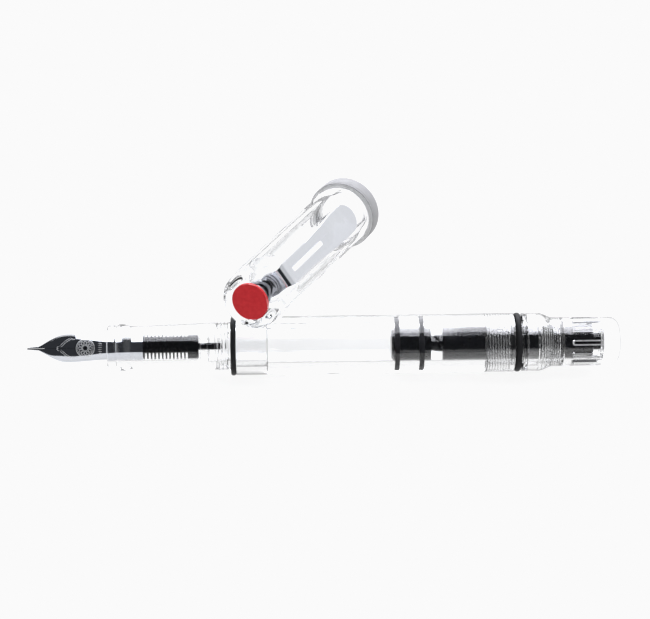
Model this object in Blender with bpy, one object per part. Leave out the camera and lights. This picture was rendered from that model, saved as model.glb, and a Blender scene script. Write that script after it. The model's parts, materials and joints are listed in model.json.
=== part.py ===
"""A clear piston-filling fountain pen with its cap off, leaning across the barrel.

The pen lies along +X with its nib towards -X. All lengths below are millimetres, and MM turns
them into metres. Pen stations are distances from the nib's tip along the pen's axis. Cap
stations are distances from the crown's face along the cap's axis.
"""
import math

import bpy
import bmesh

MM = 0.001

# Pen, from the nib's tip to the end of the knob
PEN_LENGTH = 131.0
PEN_SIDE = -23.5            # the pen's axis beside the origin, because the cap reaches behind it
RING_RADIUS = 6.55          # both O-rings, on which the pen rests
NIB_LENGTH = 25.6
FEED_FRONT = 3.6
FEED_REAR = 37.9
FEED_TAIL_END = 42.7
SECTION_FRONT = 17.7
SECTION_LIP = 20.9          # crest of the grip's flared lip
SECTION_WAIST = 23.0
SECTION_SHOULDER = 44.85
SECTION_TAIL_END = 52.75
FRONT_RING_WIDTH = 1.1
BARREL_FRONT = 46.05
BARREL_REAR = 107.35
HEAD_FRONT = 80.32
HEAD_REAR = 88.9
ROD_REAR = 123.6
GUIDE_FRONT = 91.5
GUIDE_REAR = 112.6
COLLAR_FRONT = 101.0
COLLAR_REAR = 117.4
REAR_RING_WIDTH = 1.7
FLANGE_WIDTH = 0.85
DRUM_REAR = 124.7
STUB_REAR = 126.7
SPINDLE_FRONT = 93.3
BORE_END = 127.0            # the inside end of the knob
SKIRT_END = 112.9           # the knob narrows from here
WAIST = 116.1               # to here
KNOB_DOME = 129.2           # where its end begins to round

# Radii on the pen
NIB_RADIUS = 2.75           # inside the section
NIB_THICKNESS = 0.28
FEED_RADIUS = 2.7
FEED_NECK_RADIUS = 2.3
FEED_TAIL_RADIUS = 0.75
NECK_RADIUS = 4.72
SECTION_BORE = 3.0
SECTION_LIP_RADIUS = 5.2
SECTION_FRONT_RADIUS = 4.9
GRIP_REAR_RADIUS = 5.35     # at the section's shoulder
TAIL_RADIUS = 4.62
TAIL_BORE = 3.45
INK_HOLE_RADIUS = 0.95
BARREL_RADIUS = 6.45
INK_BORE = 3.93             # the ink chamber
SLEEVE_RADIUS = 3.77        # piston head, rod guide and spindle drum
SEAL_RADIUS = 3.88
GROOVE_RADIUS = 3.2
ROD_RADIUS = 1.82
ROD_FLAT = 1.4              # half the rod's thickness between its flats
SPIGOT_RADIUS = 1.2         # the rod's end inside the piston head
SPINDLE_RADIUS = 3.0
SPINDLE_BORE = 2.0
STUB_RADIUS = 1.9
COLLAR_RADIUS = 5.02
COLLAR_REAR_RADIUS = 4.88
KNOB_RADIUS = 5.42
KNOB_END_RADIUS = 5.35
SKIRT_RADIUS = 6.4
KNOB_BORE = 3.97
KNOB_FACE_RADIUS = 4.2
FIT = 0.05                  # clearance between faces that touch on the real pen
EDGE = 0.1                  # a small bevel

# The nib's shape: stations, half widths and the sheet's bend at the shoulders
NIB_NECK = 2.8
NIB_SHOULDER = 9.0
NIB_CREST = 11.0            # its back has risen to full height here
NIB_SHANK = 17.5
NIB_TIP_HALF = 0.3
NIB_NECK_HALF = 0.5
NIB_SHOULDER_HALF = 3.25
NIB_SHANK_HALF = 2.66
NIB_SHOULDER_BEND = 4.6
NIB_TIP_HEIGHT = 0.55       # over the pen's axis

# Splines between spindle and knob
SPLINES = 10
SLOT_DEPTH = 0.75
SLOT_HALF_ANGLE = 7.3       # degrees
SLOT_FRONT = 120.1
SLOT_REAR = 126.75
RIB_HEIGHT = 0.5
RIB_HALF_ANGLE = 5.3        # degrees
RIB_FRONT = 123.75
EDGE_SLOPE = 0.1            # run-in at the ends of a slot, a rib or a wall

# Directions: the nib and one spline slot look up and towards -Y
FACE_ROLL = 52.5            # degrees from straight up

# Cap
CAP_LENGTH = 59.3
CAP_YAW = 23.4              # degrees from +Y towards +X
CAP_PITCH = 12.65           # degrees that the lip end slopes down
CAP_CROWN_X = 49.3          # pen station under the middle of the crown's face
CAP_CROWN_Y = -2.9          # the crown's face is this far in front of the pen's axis
CLIP_ROLL = 47.0            # degrees that the clip is turned from the top towards +X
LIP_RADIUS = 8.1
LIP_BEVEL = 0.25
BAND_LENGTH = 4.1
BAND_BORE = 6.7
CROWN_LENGTH = 5.2
CROWN_FACE_RADIUS = 5.05
CROWN_ROUND = 1.3           # length of its rounded shoulder
DISC_RADIUS = 4.2
DISC_THICKNESS = 0.8
SCREW_RADIUS = 1.75
SCREW_HEAD_RADIUS = 3.2
SCREW_HEAD = 1.0
SHELL_FLAT = 6.45           # half the width across the flats
SHELL_CORNER = 7.2          # half the width across the rounded corners
SHELL_BORE = 5.65
SHELL_END_WALL = 12.0       # the shell is solid from the crown to here
SHELL_SPIGOT = 6.6
SHELL_FLARE = 4.5           # the shell widens to the band over this length
FLARE_RADIUS = 7.75
RING_SEAT_DEPTH = 0.6
CAP_RING_WIDTH = 0.9
CAP_RING_RADIUS = 2.6
LINER_FRONT = 13.2
LINER_LENGTH = 19.0
LINER_RADIUS = 5.55
LINER_BORE = 4.7
LINER_WALL = 1.1

# Clip
CLIP_RING_RADIUS = 3.0
CLIP_THICKNESS = 0.5
CLIP_WIDTH = 4.4
CLIP_END = 47.0
CLIP_RISE = 7.9             # height of the arm's inner face over the cap's axis
CLIP_TOE = 7.25             # height of its inner face at the toe
CLIP_TOE_WIDTH = 7.2
CLIP_BEND = 1.1             # inside radius of the bend over the shell's edge
CLIP_STRAIGHT = 10.0        # the arm is straight from here
CLIP_FLARE = 16.0           # it widens from here
CLIP_DROP = 30.0            # and comes nearer to the shell from here
CLIP_DROP_LENGTH = 12.0
CLIP_TOE_START = 40.0

# Facets round a turned piece
BIG = 32
MEDIUM = 24
SMALL = 16
SHARP_ANGLE = math.radians(32)


def clear_scene():
    for thing in list(bpy.data.objects):
        bpy.data.objects.remove(thing, do_unlink=True)


def finish(name, colour, roughness, metallic=0.0, transmission=0.0):
    """A plain material for one piece."""
    material = bpy.data.materials.new(name)
    material.use_nodes = True
    surface = material.node_tree.nodes["Principled BSDF"]
    surface.inputs["Base Color"].default_value = (*colour, 1.0)
    surface.inputs["Roughness"].default_value = roughness
    surface.inputs["Metallic"].default_value = metallic
    surface.inputs["Transmission Weight"].default_value = transmission
    return material


def clear_acrylic(name):
    return finish(name, (0.92, 0.93, 0.94), 0.03, transmission=0.9)


def black_plastic(name):
    return finish(name, (0.012, 0.013, 0.015), 0.28)


def black_rubber(name):
    return finish(name, (0.02, 0.02, 0.022), 0.55)


def steel(name):
    return finish(name, (0.62, 0.64, 0.67), 0.12, metallic=1.0)


def red_plastic(name):
    return finish(name, (0.42, 0.024, 0.036), 0.4)


def add_object(name, mesh, parent, material=None, roll=0.0):
    """An object under its frame, with its origin on the frame's axis."""
    piece = bpy.data.objects.new(name, mesh)
    bpy.context.scene.collection.objects.link(piece)
    piece.parent = parent
    piece.rotation_euler = (math.radians(roll), 0.0, 0.0)
    if material:
        mesh.materials.append(material)
    mesh.shade_smooth()
    mesh.set_sharp_from_angle(angle=SHARP_ANGLE)
    return piece


def mesh_from(name, build):
    """A mesh whose faces point out, scaled from millimetres to metres."""
    bmesh.ops.recalc_face_normals(build, faces=build.faces[:])
    if build.calc_volume(signed=True) < 0:
        bmesh.ops.reverse_faces(build, faces=build.faces[:])
    bmesh.ops.scale(build, vec=(MM, MM, MM), verts=build.verts[:])
    mesh = bpy.data.meshes.new(name)
    build.to_mesh(mesh)
    build.free()
    return mesh


# Cross-sections: each gives the radius at an angle, for an outline point that follows it

def hexagon(radius, angle):
    """A hexagon with bowed corners; radius is half its width across the flats."""
    sector = math.radians(60)
    off_flat = (angle + sector / 2) % sector - sector / 2
    bow = (SHELL_CORNER / SHELL_FLAT - 1) / (1 / math.cos(sector / 2) - 1)
    return radius * (1 + bow * (1 / math.cos(off_flat) - 1))


def two_flats(radius, angle):
    """A round rod with two opposite flats."""
    return min(radius, (ROD_FLAT + radius - ROD_RADIUS) / max(abs(math.cos(angle)), 1e-6))


def off_spline(angle):
    pitch = math.radians(360 / SPLINES)
    return abs((angle + pitch / 2) % pitch - pitch / 2)


def slots(radius, angle):
    inside = off_spline(angle) < math.radians(SLOT_HALF_ANGLE + 0.1)
    return radius + (SLOT_DEPTH if inside else 0.0)


def ribs(radius, angle):
    inside = off_spline(angle) < math.radians(RIB_HALF_ANGLE + 0.1)
    return radius + (RIB_HEIGHT if inside else 0.0)


def even_angles(count):
    return [2 * math.pi * i / count for i in range(count)]


def spline_angles(half_angle):
    """Angles with a pair at each wall of every spline, so that the walls stand up."""
    pitch = 360 / SPLINES
    angles = []
    for i in range(SPLINES):
        for offset in (-half_angle - 0.6, -half_angle, half_angle, half_angle + 0.6, pitch / 2):
            angles.append(math.radians(i * pitch + offset))
    return angles


def turned_mesh(name, outline, angles, section=None):
    """A solid of revolution about X.

    The outline is a list of (station, radius) points. An outline that begins and ends on the axis
    is a solid, and any other is closed into a tube. A point with a third value follows the
    cross-section instead of a circle.
    """
    build = bmesh.new()
    rings = []
    for point in outline:
        station, radius = point[0], point[1]
        if radius == 0:
            rings.append([build.verts.new((station, 0, 0))])
            continue
        ring = []
        for angle in angles:
            reach = section(radius, angle) if len(point) > 2 else radius
            # angle zero points along +Z
            ring.append(build.verts.new((station, -reach * math.sin(angle), reach * math.cos(angle))))
        rings.append(ring)
    solid = outline[0][1] == 0 and outline[-1][1] == 0
    pairs = list(zip(rings, rings[1:]))
    if not solid:
        pairs.append((rings[-1], rings[0]))
    for near, far in pairs:
        join_rings(build, near, far)
    return mesh_from(name, build)


def join_rings(build, near, far):
    """Faces between two rings of points, or between a ring and a point."""
    count = max(len(near), len(far))
    for i in range(count):
        j = (i + 1) % count
        if len(near) == 1:
            build.faces.new((near[0], far[i], far[j]))
        elif len(far) == 1:
            build.faces.new((near[i], far[0], near[j]))
        else:
            build.faces.new((near[i], far[i], far[j], near[j]))


def lofted_mesh(name, sections):
    """A solid through closed cross-sections that have the same number of points."""
    build = bmesh.new()
    rings = [[build.verts.new(point) for point in section] for section in sections]
    for near, far in zip(rings, rings[1:]):
        join_rings(build, near, far)
    build.faces.new(rings[0])
    build.faces.new(rings[-1])
    bmesh.ops.triangulate(build, faces=[face for face in build.faces if len(face.verts) > 4])
    return mesh_from(name, build)


def turned(name, outline, parent, material, facets=MEDIUM, section=None, angles=None, roll=0.0):
    mesh = turned_mesh(name, outline, angles or even_angles(facets), section)
    return add_object(name, mesh, parent, material, roll)


def ring_outline(start, width, inner, outer, bevel=0.0):
    """A flat ring, with its outer edges bevelled if asked."""
    end = start + width
    if not bevel:
        return [(start, inner), (start, outer), (end, outer), (end, inner)]
    return [
        (start, inner),
        (start, outer - bevel),
        (start + bevel, outer),
        (end - bevel, outer),
        (end, outer - bevel),
        (end, inner),
    ]


def smooth_step(start, end, share):
    """A value between start and end, easing in and out."""
    share = min(max(share, 0.0), 1.0)
    return start + (end - start) * share * share * (3 - 2 * share)


# Pen pieces

def nib_half_width(station):
    """Half the nib's width: a slim tip, flared shoulders, then the straight shank."""
    if station < NIB_NECK:
        return NIB_TIP_HALF + (NIB_NECK_HALF - NIB_TIP_HALF) * station / NIB_NECK
    if station < NIB_SHOULDER:
        share = (station - NIB_NECK) / (NIB_SHOULDER - NIB_NECK)
        return NIB_NECK_HALF + (NIB_SHOULDER_HALF - NIB_NECK_HALF) * math.sin(share * math.pi / 2) ** 1.3
    share = (station - NIB_SHOULDER) / (NIB_SHANK - NIB_SHOULDER)
    return smooth_step(NIB_SHOULDER_HALF, NIB_SHANK_HALF, share)


def nib_top(station):
    """Height of the nib's middle line over the pen's axis."""
    return smooth_step(NIB_TIP_HEIGHT, NIB_RADIUS, station / NIB_CREST)


def nib_section(station, steps=10):
    """The nib's cross-section: part of a round shell that flattens towards the shoulders."""
    half_width = nib_half_width(station)
    bend = smooth_step(NIB_SHOULDER_BEND, NIB_RADIUS, (station - NIB_SHOULDER) / (NIB_SHANK - NIB_SHOULDER))
    top = nib_top(station)
    widest = 0.985              # the sheet stops short of a half circle
    spread = math.asin(min(half_width / bend, widest))
    outer = []
    inner = []
    for i in range(steps + 1):
        angle = spread * (2 * i / steps - 1)
        for side, radius in ((outer, bend), (inner, bend - NIB_THICKNESS)):
            height = top - bend + radius * math.cos(angle)
            side.append((station, radius * math.sin(angle), height))
    return outer + inner[::-1]


def make_nib(pen):
    stations = [0.0, NIB_NECK / 2]
    stations += [NIB_NECK + (NIB_SHOULDER - NIB_NECK) * i / 5 for i in range(6)]
    stations += [NIB_SHOULDER + (NIB_SHANK - NIB_SHOULDER) * i / 4 for i in range(1, 5)]
    stations.append(NIB_LENGTH)
    mesh = lofted_mesh("nib", [nib_section(station) for station in stations])
    add_object("nib", mesh, pen, steel("nib"), FACE_ROLL)


def make_feed(pen):
    """A bowed nose under the nib, a round neck, the finned body and the thin ink tail."""
    neck_start = SECTION_FRONT - 0.7
    neck_end = NIB_LENGTH + 0.1
    steps = 5
    outline = [(FEED_FRONT, 0)]
    for i in range(1, steps + 1):
        share = i / steps
        radius = FEED_NECK_RADIUS * math.sin(share * math.pi / 2)
        outline.append((FEED_FRONT + (neck_start - FEED_FRONT) * share, radius))
    outline += [
        (neck_end, FEED_NECK_RADIUS),
        (neck_end, FEED_RADIUS),
        (FEED_REAR, FEED_RADIUS),
        (FEED_REAR, FEED_TAIL_RADIUS),
        (FEED_TAIL_END - 0.3, FEED_TAIL_RADIUS),
        (FEED_TAIL_END, 0.4),
        (FEED_TAIL_END, 0),
    ]
    feed = turned("feed", outline, pen, black_plastic("feed"), SMALL, roll=FACE_ROLL)
    # the nose stays under the nib's inner face
    for vertex in feed.data.vertices:
        station = vertex.co.x / MM
        if station < neck_start:
            gap = 0.2
            ceiling = min(max(nib_top(station) - NIB_THICKNESS - gap, FIT), FEED_NECK_RADIUS)
            vertex.co.z = min(vertex.co.z, ceiling * MM - abs(vertex.co.y) * 0.2)


def make_section(pen):
    """The grip: a flared lip, a waist that widens to the shoulder, and the tail in the barrel."""
    web = FEED_REAR + 0.35
    web_end = web + 1.5
    bevel = 0.3
    outline = [
        (SECTION_FRONT, SECTION_BORE),
        (SECTION_FRONT, SECTION_FRONT_RADIUS - bevel),
        (SECTION_FRONT + bevel, SECTION_FRONT_RADIUS),
        (SECTION_LIP - 1.0, SECTION_FRONT_RADIUS),
        (SECTION_LIP - bevel, SECTION_LIP_RADIUS - FIT),
    ]
    steps = 3
    for i in range(steps + 1):
        share = i / steps
        station = SECTION_LIP + (SECTION_WAIST - SECTION_LIP) * share
        outline.append((station, smooth_step(SECTION_LIP_RADIUS, NECK_RADIUS, share)))
    for i in range(1, steps + 1):
        share = i / steps
        station = SECTION_WAIST + (SECTION_SHOULDER - SECTION_WAIST) * share
        outline.append((station, smooth_step(NECK_RADIUS, GRIP_REAR_RADIUS, share)))
    outline += [
        (SECTION_SHOULDER, TAIL_RADIUS),
        (SECTION_TAIL_END, TAIL_RADIUS),
        (SECTION_TAIL_END, TAIL_BORE),
        (web_end, TAIL_BORE),
        (web_end, INK_HOLE_RADIUS),
        (web, INK_HOLE_RADIUS),
        (web, SECTION_BORE),
    ]
    turned("section", outline, pen, clear_acrylic("section"), MEDIUM)


def make_o_rings(pen):
    front = ring_outline(SECTION_SHOULDER + FIT, FRONT_RING_WIDTH, TAIL_RADIUS + 0.1, RING_RADIUS, 0.3)
    turned("front_o_ring", front, pen, black_rubber("front_o_ring"), BIG)
    rear = ring_outline(BARREL_REAR + FIT, REAR_RING_WIDTH, COLLAR_RADIUS + 0.06, RING_RADIUS, 0.45)
    turned("rear_o_ring", rear, pen, black_rubber("rear_o_ring"), BIG)


def make_barrel(pen):
    outline = [
        (BARREL_FRONT, TAIL_RADIUS + 0.1),
        (BARREL_FRONT, BARREL_RADIUS - EDGE),
        (BARREL_FRONT + EDGE, BARREL_RADIUS),
        (BARREL_REAR - EDGE, BARREL_RADIUS),
        (BARREL_REAR, BARREL_RADIUS - EDGE),
        (BARREL_REAR, COLLAR_RADIUS + 0.08),
        (COLLAR_FRONT - 0.1, COLLAR_RADIUS + 0.08),
        (COLLAR_FRONT - 0.1, INK_BORE),
        (SECTION_TAIL_END + 0.2, INK_BORE),
        (SECTION_TAIL_END + 0.2, TAIL_RADIUS + 0.1),
    ]
    turned("barrel", outline, pen, clear_acrylic("barrel"), BIG)


def make_piston(pen):
    """The plug, its two sealing rings and the rod behind it."""
    front_groove, rear_groove = HEAD_FRONT + 0.6, HEAD_FRONT + 6.0
    groove_width = 1.25
    rod_socket = HEAD_FRONT + 3.7
    head = [(HEAD_FRONT, 0), (HEAD_FRONT, SLEEVE_RADIUS)]
    for groove in (front_groove, rear_groove):
        head += [
            (groove, SLEEVE_RADIUS),
            (groove, GROOVE_RADIUS),
            (groove + groove_width, GROOVE_RADIUS),
            (groove + groove_width, SLEEVE_RADIUS),
        ]
    head += [
        (HEAD_REAR, SLEEVE_RADIUS),
        (HEAD_REAR, SPIGOT_RADIUS + 0.08),
        (rod_socket, SPIGOT_RADIUS + 0.08),
        (rod_socket, 0),
    ]
    turned("piston_head", head, pen, black_plastic("piston_head"), MEDIUM)
    for name, groove in (("piston_seal_front", front_groove), ("piston_seal_rear", rear_groove)):
        seal = ring_outline(groove + 0.04, groove_width - 0.08, GROOVE_RADIUS + 0.05, SEAL_RADIUS)
        turned(name, seal, pen, black_rubber(name), BIG)
    rod = [
        (rod_socket + 0.1, 0),
        (rod_socket + 0.1, SPIGOT_RADIUS),
        (HEAD_REAR + 0.1, SPIGOT_RADIUS),
        (HEAD_REAR + 0.1, ROD_RADIUS, 1),
        (ROD_REAR, ROD_RADIUS, 1),
        (ROD_REAR, 0),
    ]
    turned("piston_rod", rod, pen, black_plastic("piston_rod"), MEDIUM, two_flats)


def make_rod_guide(pen):
    """A sleeve whose front wall has a hole that matches the rod's flats."""
    bore = SPINDLE_RADIUS + 0.15
    wall = GUIDE_FRONT + 1.5
    outline = [
        (GUIDE_FRONT, ROD_RADIUS + 0.1, 1),
        (GUIDE_FRONT, SLEEVE_RADIUS),
        (GUIDE_REAR, SLEEVE_RADIUS),
        (GUIDE_REAR, bore),
        (wall, bore),
        (wall, ROD_RADIUS + 0.1, 1),
    ]
    turned("rod_guide", outline, pen, black_plastic("rod_guide"), MEDIUM, two_flats)


def make_guide_collar(pen):
    bore = SLEEVE_RADIUS + 0.09
    flange = BARREL_REAR + FIT + REAR_RING_WIDTH + FIT
    flange_end = flange + FLANGE_WIDTH
    outline = [
        (COLLAR_FRONT, bore),
        (COLLAR_FRONT, COLLAR_RADIUS),
        (flange, COLLAR_RADIUS),
        (flange, SKIRT_RADIUS),
        (flange_end, SKIRT_RADIUS),
        (flange_end, COLLAR_REAR_RADIUS),
        (COLLAR_REAR, COLLAR_REAR_RADIUS),
        (COLLAR_REAR, bore),
    ]
    turned("guide_collar", outline, pen, clear_acrylic("guide_collar"), BIG)


def make_spindle(turning):
    """A threaded nut inside the rod guide, then the splined drum and its stub."""
    drum = GUIDE_REAR + 0.1
    outline = [
        (ROD_REAR + 0.3, 0),
        (ROD_REAR + 0.3, SPINDLE_BORE),
        (SPINDLE_FRONT, SPINDLE_BORE),
        (SPINDLE_FRONT, SPINDLE_RADIUS),
        (drum, SPINDLE_RADIUS),
        (drum, SLEEVE_RADIUS),
        (RIB_FRONT, SLEEVE_RADIUS),
        (RIB_FRONT + EDGE_SLOPE, SLEEVE_RADIUS, 1),
        (DRUM_REAR - EDGE_SLOPE, SLEEVE_RADIUS, 1),
        (DRUM_REAR, SLEEVE_RADIUS),
        (DRUM_REAR, STUB_RADIUS),
        (STUB_REAR, STUB_RADIUS),
        (STUB_REAR, 0),
    ]
    angles = spline_angles(RIB_HALF_ANGLE)
    material = black_plastic("spindle")
    turned("spindle", outline, turning, material, section=ribs, angles=angles, roll=FACE_ROLL)


def make_knob(turning):
    skirt = BARREL_REAR + REAR_RING_WIDTH + FLANGE_WIDTH + 3 * FIT
    thread_bore = COLLAR_REAR_RADIUS + 0.08
    thread_end = COLLAR_REAR + 0.4
    outline = [
        (BORE_END, 0),
        (BORE_END, KNOB_BORE),
        (SLOT_REAR + EDGE_SLOPE, KNOB_BORE),
        (SLOT_REAR, KNOB_BORE, 1),
        (SLOT_FRONT, KNOB_BORE, 1),
        (SLOT_FRONT - EDGE_SLOPE, KNOB_BORE),
        (thread_end, KNOB_BORE),
        (thread_end, thread_bore),
        (skirt, thread_bore),
        (skirt, SKIRT_RADIUS - EDGE),
        (skirt + EDGE, SKIRT_RADIUS),
    ]
    steps = 4
    for i in range(steps + 1):
        share = i / steps
        station = SKIRT_END + (WAIST - SKIRT_END) * share
        outline.append((station, smooth_step(SKIRT_RADIUS, KNOB_RADIUS, share)))
    for i in range(3):
        turn = math.pi / 2 * i / 3
        station = KNOB_DOME + (PEN_LENGTH - KNOB_DOME) * math.sin(turn)
        radius = KNOB_FACE_RADIUS + (KNOB_END_RADIUS - KNOB_FACE_RADIUS) * math.cos(turn)
        outline.append((station, radius))
    outline += [(PEN_LENGTH, KNOB_FACE_RADIUS), (PEN_LENGTH, 0)]
    angles = spline_angles(SLOT_HALF_ANGLE)
    material = clear_acrylic("knob")
    turned("knob", outline, turning, material, section=slots, angles=angles, roll=FACE_ROLL)


# Cap pieces

def make_crown(cap):
    """The finial: a round face, a rounded shoulder and the shell's hexagon, with the disc's pocket."""
    head_seat = DISC_THICKNESS + 0.1 + SCREW_HEAD + 0.1
    hole = SCREW_RADIUS + FIT
    outline = [
        (CROWN_LENGTH, hole),
        (head_seat, hole),
        (head_seat, SCREW_HEAD_RADIUS + FIT),
        (DISC_THICKNESS + 0.06, SCREW_HEAD_RADIUS + FIT),
        (DISC_THICKNESS + 0.06, DISC_RADIUS + FIT),
        (0.0, DISC_RADIUS + FIT),
        (0.0, CROWN_FACE_RADIUS),
    ]
    steps = 4
    for i in range(1, steps + 1):
        turn = math.pi / 2 * i / steps
        bulge = CROWN_FACE_RADIUS + (SHELL_FLAT - CROWN_FACE_RADIUS) * math.sin(turn)
        outline.append((CROWN_ROUND * (1 - math.cos(turn)), bulge, 1))
    outline.append((CROWN_LENGTH, SHELL_FLAT, 1))
    turned("crown", outline, cap, clear_acrylic("crown"), BIG + 4, hexagon)


def make_crown_disc(cap):
    outline = [
        (0.0, 0),
        (0.0, DISC_RADIUS - EDGE),
        (EDGE, DISC_RADIUS),
        (DISC_THICKNESS, DISC_RADIUS),
        (DISC_THICKNESS, 0),
    ]
    turned("crown_disc", outline, cap, red_plastic("crown_disc"), BIG)


def make_crown_screw(cap):
    head = DISC_THICKNESS + 0.1
    outline = [
        (head, 0),
        (head, SCREW_HEAD_RADIUS),
        (head + SCREW_HEAD, SCREW_HEAD_RADIUS),
        (head + SCREW_HEAD, SCREW_RADIUS),
        (LINER_FRONT - 0.2, SCREW_RADIUS),
        (LINER_FRONT - 0.2, 0),
    ]
    turned("crown_screw", outline, cap, steel("crown_screw"), SMALL)


def make_crown_o_ring(cap):
    outline = ring_outline(SHELL_END_WALL + FIT, CAP_RING_WIDTH, SCREW_RADIUS + FIT, CAP_RING_RADIUS, 0.2)
    turned("crown_o_ring", outline, cap, black_rubber("crown_o_ring"), SMALL)


def make_cap_shell(cap):
    start = CROWN_LENGTH + FIT
    band = CAP_LENGTH - BAND_LENGTH
    hole = SCREW_RADIUS + FIT
    ring_seat = start + RING_SEAT_DEPTH
    outline = [
        (start, CLIP_RING_RADIUS + 0.1),
        (start, SHELL_FLAT, 1),
        (band - SHELL_FLARE, SHELL_FLAT, 1),
        (band - SHELL_FLARE / 3, FLARE_RADIUS - 0.35),
        (band - FIT, FLARE_RADIUS),
        (band - FIT, SHELL_SPIGOT),
        (CAP_LENGTH - 0.3, SHELL_SPIGOT),
        (CAP_LENGTH - 0.3, SHELL_BORE),
        (SHELL_END_WALL, SHELL_BORE),
        (SHELL_END_WALL, hole),
        (ring_seat, hole),
        (ring_seat, CLIP_RING_RADIUS + 0.1),
    ]
    shell = turned("cap_shell", outline, cap, clear_acrylic("cap_shell"), BIG + 4, hexagon)
    half = CLIP_WIDTH / 2 + 0.15
    notch = lofted_mesh("clip_notch", [
        box_section(station, half, CLIP_RING_RADIUS - 1.0, SHELL_CORNER + 1.5)
        for station in (start - 0.5, ring_seat)
    ])
    cutter = add_object("clip_notch", notch, cap)
    hide_helper(cutter)
    boolean(shell, cutter, "DIFFERENCE")


def make_inner_cap(cap):
    """The liner: closed towards the crown, open towards the pen's grip."""
    end = LINER_FRONT + LINER_LENGTH
    outline = [
        (LINER_FRONT, 0),
        (LINER_FRONT, LINER_RADIUS - 0.4),
        (LINER_FRONT + 0.4, LINER_RADIUS),
        (end, LINER_RADIUS),
        (end, LINER_BORE),
        (LINER_FRONT + LINER_WALL, LINER_BORE),
        (LINER_FRONT + LINER_WALL, 0),
    ]
    turned("inner_cap", outline, cap, clear_acrylic("inner_cap"), MEDIUM)


def make_cap_band(cap):
    start = CAP_LENGTH - BAND_LENGTH
    outline = [
        (start, BAND_BORE),
        (start, LIP_RADIUS - LIP_BEVEL),
        (start + LIP_BEVEL, LIP_RADIUS),
        (CAP_LENGTH - LIP_BEVEL, LIP_RADIUS),
        (CAP_LENGTH, LIP_RADIUS - LIP_BEVEL),
        (CAP_LENGTH, BAND_BORE),
    ]
    turned("cap_band", outline, cap, steel("cap_band"), BIG + 8)


def box_section(station, half_width, low, high):
    """A rectangle across the cap's axis; +Z is the clip's side."""
    return [
        (station, -half_width, low),
        (station, half_width, low),
        (station, half_width, high),
        (station, -half_width, high),
    ]


def clip_height(station):
    """The arm's inner face: flat along the cap, then down to the toe."""
    return smooth_step(CLIP_RISE, CLIP_TOE, (station - CLIP_DROP) / CLIP_DROP_LENGTH)


def clip_half_width(station):
    """Parallel at first, then flared to a rounded toe."""
    share = (station - CLIP_FLARE) / (CLIP_TOE_START - CLIP_FLARE)
    flare = smooth_step(CLIP_WIDTH + 0.9, CLIP_TOE_WIDTH, share) / 2
    nose = CLIP_TOE_WIDTH / 2
    from_end = CLIP_END - station
    if from_end >= nose:
        return flare
    return max(math.sqrt(nose * nose - (nose - from_end) ** 2), 0.8)


def make_clip(cap):
    """A ring round the crown's screw and a spring arm that bends over the shell."""
    seat = CROWN_LENGTH + 0.06
    outline = ring_outline(seat, CLIP_THICKNESS, SCREW_RADIUS + 0.1, CLIP_RING_RADIUS)
    clip = turned("clip", outline, cap, steel("clip"), MEDIUM)

    half_root = CLIP_WIDTH / 2
    root_height = CLIP_RING_RADIUS - 0.6
    back = seat + CLIP_THICKNESS
    sections = [[
        (seat, half_root, root_height),
        (seat, -half_root, root_height),
        (back, -half_root, root_height),
        (back, half_root, root_height),
    ]]
    for degrees in (0, 30, 60, 90):
        turn = math.radians(degrees)
        inner, outer = CLIP_BEND, CLIP_BEND + CLIP_THICKNESS
        centre_x, centre_z = seat + outer, CLIP_RISE - CLIP_BEND
        near = (centre_x - outer * math.cos(turn), centre_z + outer * math.sin(turn))
        far = (centre_x - inner * math.cos(turn), centre_z + inner * math.sin(turn))
        sections.append([
            (near[0], half_root, near[1]),
            (near[0], -half_root, near[1]),
            (far[0], -half_root, far[1]),
            (far[0], half_root, far[1]),
        ])
    length = CLIP_TOE_START - CLIP_STRAIGHT
    stations = [CLIP_STRAIGHT + length * i / 7 for i in range(8)]
    toe = CLIP_END - CLIP_TOE_START
    stations += [CLIP_TOE_START + toe * math.sin(math.pi / 2 * i / 4) for i in range(1, 5)]
    for station in stations:
        half = clip_half_width(station)
        low = clip_height(station)
        high = low + CLIP_THICKNESS
        sections.append([
            (station, half, high),
            (station, -half, high),
            (station, -half, low),
            (station, half, low),
        ])
    arm = add_object("clip_arm", lofted_mesh("clip_arm", sections), cap)
    hide_helper(arm)
    boolean(clip, arm, "UNION")


def hide_helper(helper):
    helper.hide_render = True
    helper.display_type = "WIRE"


def boolean(piece, other, operation):
    modifier = piece.modifiers.new(operation.title(), "BOOLEAN")
    modifier.object = other
    modifier.operation = operation
    modifier.solver = "EXACT"


# Frames

def add_frame(name, place, rotation=(0.0, 0.0, 0.0)):
    frame = bpy.data.objects.new(name, None)
    bpy.context.scene.collection.objects.link(frame)
    frame.location = [value * MM for value in place]
    frame.rotation_euler = rotation
    return frame


def add_pen_frames():
    """The pen's own frame at the nib's tip, and turning frames on the same axis."""
    pen = add_frame("pen_frame", (-PEN_LENGTH / 2, PEN_SIDE, RING_RADIUS))
    turning = add_frame("turning_frame", (0.0, 0.0, 0.0))
    turning.parent = pen
    return pen, turning


def add_cap_frame():
    """X runs from the crown to the lip, and Z points at the clip. The lip stands on z = 0."""
    pitch = math.radians(CAP_PITCH)
    lip_height = LIP_RADIUS * math.cos(pitch)
    place = (
        CAP_CROWN_X - PEN_LENGTH / 2,
        PEN_SIDE + CAP_CROWN_Y,
        lip_height + (CAP_LENGTH - LIP_BEVEL) * math.sin(pitch),
    )
    rotation = (math.radians(CLIP_ROLL), pitch, math.radians(90 - CAP_YAW))
    return add_frame("cap_frame", place, rotation)


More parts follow.
